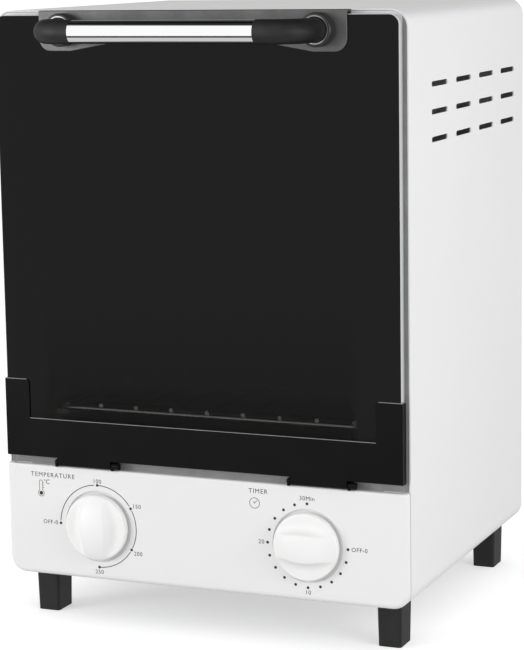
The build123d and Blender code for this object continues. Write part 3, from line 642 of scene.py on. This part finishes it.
def choose(piece, kind, wanted):
    """Enter edit mode on a piece with only its wanted vertices, edges or faces selected."""
    alone(piece)
    bpy.ops.object.mode_set(mode="EDIT")
    bpy.ops.mesh.select_mode(type=kind)
    bpy.ops.mesh.select_all(action="DESELECT")
    bpy.ops.object.mode_set(mode="OBJECT")
    parts = {"VERT": piece.data.vertices, "EDGE": piece.data.edges, "FACE": piece.data.polygons}[kind]
    for part in parts:
        part.select = wanted(part)
    bpy.ops.object.mode_set(mode="EDIT")


def apply_modifier(piece, kind, **settings):
    """Add a modifier to a piece and apply it."""
    alone(piece)
    modifier = piece.modifiers.new(kind.lower(), kind)
    for name, value in settings.items():
        setattr(modifier, name, value)
    bpy.ops.object.modifier_apply(modifier=modifier.name)


def blend(piece, tool, operation):
    """Unite a piece with a tool's shape, or take the tool out of it."""
    apply_modifier(piece, "BOOLEAN", object=tool, operation=operation, solver="EXACT")
    bpy.data.objects.remove(tool)


def about(middle, turn):
    """Turn about a line along Y through a point."""
    return Matrix.Translation(middle) @ Matrix.Rotation(turn, 4, "Y") @ Matrix.Translation(-middle)


def turned_disc(radius, front, back, sides):
    """Round plug about the Y axis, from its front to its back."""
    bpy.ops.mesh.primitive_cylinder_add(vertices=sides, radius=radius, depth=back - front,
                                        location=(0, (front + back) / 2, 0), rotation=(pi / 2, 0, 0))
    return settle(added())


# ---------------------------------------------------------------- printed marks
def ink_y():
    """Front of the print."""
    return panel_y - ink_thickness


def raise_ink(piece):
    """Turn a flat outline at the print's front into a thin layer of ink."""
    settle(piece)
    return edit(piece, bpy.ops.mesh.extrude_region_move,
                TRANSFORM_OT_translate={"value": (0, ink_depth, 0)})


def ink_dot(x, z, radius):
    """Round spot of ink."""
    bpy.ops.mesh.primitive_circle_add(vertices=28, radius=radius, fill_type="NGON",
                                      location=(x, ink_y(), z), rotation=(pi / 2, 0, 0))
    return raise_ink(added())


def ink_bar(start, end):
    """Straight stroke of a sign between two points of the panel, each x and z."""
    run = Vector(end) - Vector(start)
    middle = (Vector(start) + Vector(end)) / 2
    tilt = -run.angle_signed(Vector((1, 0)))
    bpy.ops.mesh.primitive_plane_add(size=1.0, location=(middle.x, ink_y(), middle.y),
                                     rotation=(pi / 2, tilt, 0))
    bar = added()
    bar.scale = (run.length, sign_line, 1.0)
    return raise_ink(bar)


def ink_arc(x, z, radius, start, end, width):
    """Curved stroke about a point, between two angles taken from the right, anticlockwise."""
    middle = Vector((x, ink_y() + ink_depth / 2, z))
    bpy.ops.mesh.primitive_plane_add(size=1.0, location=middle + Vector((radius, 0, 0)))
    arc = added()
    arc.scale = (width, ink_depth, 1.0)
    settle(arc)
    sweep = end - start
    steps = max(3, round(sweep / arc_facet))
    edit(arc, bpy.ops.mesh.spin, steps=steps, angle=sweep, center=middle, axis=(0, 1, 0))
    arc.matrix_world = about(middle, -start)
    return settle(arc)


def lettering(words, x, z, height, spacing=1.0):
    """Words or figures of ink, centred on a point of the panel."""
    bpy.ops.object.text_add(location=(x, ink_y(), z), rotation=(pi / 2, 0, 0))
    text = added()
    text.data.body = words
    text.data.align_x = "CENTER"
    text.data.align_y = "CENTER"
    text.data.size = height / capital_share
    text.data.space_character = spacing
    text.data.resolution_u = 3
    text.data.extrude = ink_depth / 2
    text.location.y += text.data.extrude
    bpy.ops.object.convert(target="MESH")
    return settle(bpy.context.object)


def dial_label(words, centre, radius, angle, drop=0.0):
    """Label outside the dot that stands at an angle of a dial, and a little lower where asked."""
    label = lettering(words, centre.x, centre.z, figure_height, label_spacing)
    half = label.dimensions.x / 2
    across = cos(angle) * (radius + label_gap + half)
    up = sin(angle) * (radius + label_rise) - drop
    label.location = (across, 0, up)
    return settle(label)


def on_dial(centre, radius, angle):
    """A place round a dial, as x and z."""
    return centre.x + radius * cos(angle), centre.z + radius * sin(angle)


def beside(centre, place):
    """A place beside a dial, as x and z."""
    return centre.x + place[0], centre.z + place[1]


def temperature_print():
    """Left dial's scale: five dots joined by a broken line, their figures, and a thermometer."""
    centre = dial_centre("temperature_knob")
    marks = ((180, "OFF-0", 0.0), (90, "100", label_drop), (30, "150", 0.0), (-30, "200", label_drop),
             (-90, "250", 0.0))
    strokes = ((95.0, 176.5), (33.5, 88.0), (-27.0, 27.0), (-89.0, -33.5))
    pieces = []
    for angle, words, drop in marks:
        turn = radians(angle)
        pieces.append(ink_dot(*on_dial(centre, temperature_circle, turn), dot_radius))
        pieces.append(dial_label(words, centre, temperature_circle, turn, drop))
    for start, end in strokes:
        pieces.append(ink_arc(centre.x, centre.z, temperature_circle, radians(start), radians(end),
                              ink_line))
    pieces += thermometer(*beside(centre, thermometer_bulb))
    pieces.append(lettering("TEMPERATURE", *beside(centre, temperature_title), title_height, 1.22))
    pieces.append(lettering("°C", *beside(centre, degree_sign), title_height))
    return join("temperature_scale", pieces)


def thermometer(x, z):
    """Small thermometer sign, with the middle of its ringed bulb at the point given."""
    half = 1.0 * MM
    foot = z + 1.6 * MM
    top = z + 6.8 * MM
    pitch = 1.6 * MM
    rungs = [foot + rung * pitch for rung in (1, 2, 3)]
    opening = radians(32)
    ring = ink_arc(x, z, 1.9 * MM, pi / 2 + opening, 5 * pi / 2 - opening, sign_line)
    stem = [ink_bar((x + side * half, foot), (x + side * half, top)) for side in (-1, 1)]
    cap = ink_arc(x, top, half, 0.0, pi, sign_line)
    ticks = [ink_bar((x + half, rung), (x + 2 * half, rung)) for rung in rungs]
    return [*stem, cap, *ticks, ring, ink_dot(x, z, 1.2 * MM)]


def timer_print():
    """Right dial's scale: sixteen dots from off round to thirty minutes, and a clock."""
    centre = dial_centre("timer_knob")
    dots = 16
    first = 90
    step = 18
    pieces = [ink_dot(*on_dial(centre, timer_circle, radians(first + step * dot)), dot_radius)
              for dot in range(dots)]
    for angle, words in ((90, "30Min"), (180, "20"), (270, "10"), (360, "OFF-0")):
        pieces.append(dial_label(words, centre, timer_circle, radians(angle)))
    pieces += clock(*beside(centre, clock_middle))
    pieces.append(lettering("TIMER", *beside(centre, timer_title), title_height, 1.18))
    return join("timer_scale", pieces)


def clock(x, z):
    """Small clock-face sign."""
    ring = ink_arc(x, z, 3.0 * MM, 0.0, 2 * pi, sign_line)
    hands = [ink_bar((x, z), (x + 1.5 * MM, z + 1.6 * MM)),
             ink_bar((x, z), (x - 0.8 * MM, z + 0.8 * MM))]
    return [ring, *hands, ink_dot(x, z, sign_line)]


for scale in (temperature_print(), timer_print()):
    dress(scale, ink)
    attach(scale, "root")


# ---------------------------------------------------------------- knobs
def domed_plug(face, back):
    """Round plug along Y whose front is a dome, from its crest at y 0 down to its rim."""
    dome_radius = (knob_radius ** 2 + face ** 2) / (2 * face)
    rim_angle = asin(knob_radius / dome_radius)
    plug = turned_disc(knob_radius, face, back, sides=128)
    choose(plug, "FACE", lambda side: side.normal.y < -0.9)
    for step in range(1, dome_rounds):
        outer = rim_angle * (dome_rounds - step + 1) / dome_rounds
        inner = rim_angle * (dome_rounds - step) / dome_rounds
        bpy.ops.mesh.inset(thickness=dome_radius * (sin(outer) - sin(inner)),
                           depth=dome_radius * (cos(inner) - cos(outer)))
    bpy.ops.object.mode_set(mode="OBJECT")
    return plug


def grip_hollow(face, turn):
    """Tool for the hollow beside the grip: a cove swept round the grip's bowed side."""
    bpy.ops.mesh.primitive_plane_add(
        size=1.0, location=(grip_half + hollow_reach / 2, (face - tool_overlap) / 2, 0))
    hollow = added()
    hollow.scale = (hollow_reach, face + tool_overlap, 1.0)
    settle(hollow)
    choose(hollow, "VERT", lambda corner: corner.co.x < grip_half + MM and corner.co.y > face - MM)
    bpy.ops.mesh.bevel(offset=face * hollow_share, segments=16, affect="VERTICES")
    bpy.ops.object.mode_set(mode="OBJECT")
    middle = Vector((grip_half - grip_bow, 0, 0))
    edit(hollow, bpy.ops.mesh.spin, steps=40, angle=hollow_sweep, center=middle, axis=(0, 1, 0))
    hollow.matrix_world = Matrix.Rotation(turn, 4, "Y") @ about(middle, hollow_sweep / 2)
    return settle(hollow)


def dial_knob(node, body, turn):
    """Round white knob with a broad grip between two hollows, in a CAD knob's place and turn."""
    low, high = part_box(node)
    hub_back = high.y - low.y
    flange_back = hub_back - hub_step
    face = flange_back - flange_depth
    knob = domed_plug(face, flange_back)
    for side in (0.0, pi):
        blend(knob, grip_hollow(face, side), "DIFFERENCE")
    apply_modifier(knob, "REMESH", mode="VOXEL", voxel_size=mould_grid)
    apply_modifier(knob, "SMOOTH", factor=0.5, iterations=mould_rounds)
    hub = turned_disc(hub_radius, flange_back - tool_overlap, hub_back, sides=48)
    blend(knob, hub, "UNION")
    socket = turned_disc(socket_radius, hub_back - socket_depth, hub_back + tool_overlap, sides=48)
    blend(knob, socket, "DIFFERENCE")
    knob.rotation_euler = (0, turn, 0)
    knob.location = ((low.x + high.x) / 2, low.y, (low.z + high.z) / 2)
    settle(knob)
    bpy.ops.object.shade_smooth_by_angle(angle=radians(40))
    knob.name = node + "_moulded"
    dress(knob, slot_finishes["white_plastic"])
    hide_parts(node)
    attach(knob, body)


dial_knob("temperature_knob", "temperature_dial", 0.0)
dial_knob("timer_knob", "timer_dial", pi / 2)


# ---------------------------------------------------------------- screws
def cross_head_screw(head, length):
    """Screw on the Y axis: its head's seat at y 0, a round crown towards +Y and a cross recess."""
    radius, height = head
    crown = turned_disc(radius, 0, height, sides=40)
    points = crown.data.vertices
    choose(crown, "EDGE", lambda line: all(points[end].co.y > height / 2 for end in line.vertices))
    bpy.ops.mesh.bevel(offset=height * crown_share, segments=6, affect="EDGES")
    bpy.ops.object.mode_set(mode="OBJECT")
    for turn in (0, pi / 2):
        bpy.ops.mesh.primitive_cube_add(size=1.0, location=(0, height, 0), rotation=(0, turn, 0))
        blade = added()
        blade.scale = (radius * recess_reach, height * recess_share, recess_width)
        blend(crown, settle(blade), "DIFFERENCE")
    screw = join("screw", [crown, turned_disc(shank_radius, -length, 0, sides=24)])
    bpy.ops.object.shade_smooth_by_angle(angle=radians(30))
    return screw


def screw_set(node, head, length, seats, turn=0.0):
    """The screws of one node: one modelled screw, set at each seat and turned about X."""
    pattern = cross_head_screw(head, length)
    screws = []
    for seat in seats:
        screw = copy_of(pattern)
        screw.location = seat
        screw.rotation_euler = (turn, 0, 0)
        screws.append(settle(screw))
    bpy.data.objects.remove(pattern)
    made = join(node + "_turned", screws)
    dress(made, slot_finishes["plated_steel"])
    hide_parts(node)
    return made


radius, height = pan_head
low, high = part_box("back_screws")
rows = (low.z + radius, (low.z + high.z) / 2, high.z - radius)
seats = [(side * (high.x - radius), high.y - height, row) for side in (-1, 1) for row in rows]
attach(screw_set("back_screws", pan_head, high.y - low.y - height, seats), "root")

low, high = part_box("foot_screws")
rows = (low.y + radius, high.y - radius)
seats = [(side * (high.x - radius), row, low.z + height) for side in (-1, 1) for row in rows]
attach(screw_set("foot_screws", pan_head, high.z - low.z - height, seats, -pi / 2), "root")

radius, height = truss_head
low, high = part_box("handle_screws")
seats = [(side * (high.x - radius), high.y - height, (low.z + high.z) / 2) for side in (-1, 1)]
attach(screw_set("handle_screws", truss_head, high.y - low.y - height, seats), "door")


# ---------------------------------------------------------------- studio
def floor():
    """Plain pale floor. The camera sees it near white, with the object's soft shadow kept. Gloss sees it
    white far ahead, dark on the flag's strip, and duller from there to behind the object, as a painted
    shadow of the object."""
    bpy.ops.mesh.primitive_plane_add(size=60.0, location=(0, 0, 0))
    plane = added()
    plane.name = "floor"
    shader = new_shader("pale_floor")
    seen = shader.node("LightPath", output="Is Camera Ray")
    gloss = shader.node("LightPath", output="Is Glossy Ray")
    forth = shader.along("Y")
    flag = (forth > floor_flag[0]) * (forth < floor_flag[1])
    near = forth > floor_flag[1]
    matt = shader.node("BsdfDiffuse", {}, {"Color": tint(floor_grey)})
    glow = shader.node("Emission", {}, {"Strength": floor_glow * seen})
    lit = shader.node("AddShader", {}, {0: matt, 1: glow})
    # painted shadow: gloss sees the floor duller under and behind the object
    mirrored = shader.node("Emission", {}, {"Strength": 1.0 - flag_dark * flag - near_dull * near})
    shader.end("OutputMaterial", shader.node("MixShader", {}, {0: gloss, 1: lit, 2: mirrored}))
    dress(plane, shader.owner)


def studio_walls():
    """Even pale walls. Gloss sees them end overhead, behind and on the right; the camera sees white."""
    world = bpy.data.worlds.new("studio")
    shader = Shader(world)
    way = shader.node("TexCoord", output="Generated")
    right, behind, above = (shader.node("SeparateXYZ", {}, {0: way}, axis) for axis in "XYZ")
    seen = shader.node("LightPath", output="Is Camera Ray")
    gloss = shader.node("LightPath", output="Is Glossy Ray")
    overhead = shader.ramp(above, (0.80, 1.0), (0.86, 0.03))
    back = shader.ramp(behind, (0.0, 1.0), (0.10, 0.62))
    high_back = (behind > 0.05) * shader.ramp(above, (0.28, 0.0), (0.34, 0.95))
    side = shader.ramp(right, (0.45, 1.0), (0.80, 0.30))
    mirrored = overhead * back * side * (1.0 - high_back)
    plain = plain_level + gloss * (mirrored - plain_level)
    strength = plain + seen * (1.0 - plain)
    shader.end("OutputWorld", shader.node("Background", {}, {"Color": tint(1.0), "Strength": strength}))
    bpy.context.scene.world = world


def softbox(name, place, target, size, energy):
    """Square area lamp at a place, turned to a target."""
    bpy.ops.object.light_add(type="AREA", location=place)
    lamp = added()
    lamp.name = name
    lamp.data.shape = "SQUARE"
    lamp.data.size = size
    lamp.data.energy = energy
    lamp.visible_camera = False
    lamp.rotation_euler = (Vector(target) - Vector(place)).to_track_quat("-Z", "Y").to_euler()


def camera():
    """Camera at the photograph's place and angle."""
    bpy.ops.object.camera_add()
    eye = added()
    turn = (Matrix.Rotation(camera_yaw, 4, "Z") @ Matrix.Rotation(pi / 2 - camera_dip, 4, "X")
            @ Matrix.Rotation(camera_roll, 4, "Z"))
    eye.matrix_world = Matrix.Translation(camera_place) @ turn
    eye.data.lens = camera_lens
    eye.data.sensor_width = 36.0
    eye.data.clip_end = 100.0
    bpy.context.scene.camera = eye


floor()
studio_walls()
softbox("key", place=(-1.35, -1.3, 0.45), target=(0, 0, 0.15), size=0.7, energy=12.5)
softbox("fill", place=(1.05, -0.40, 0.34), target=(0.12, 0, 0.2), size=0.5, energy=3.7)
camera()
bpy.context.scene.view_settings.view_transform = "Standard"
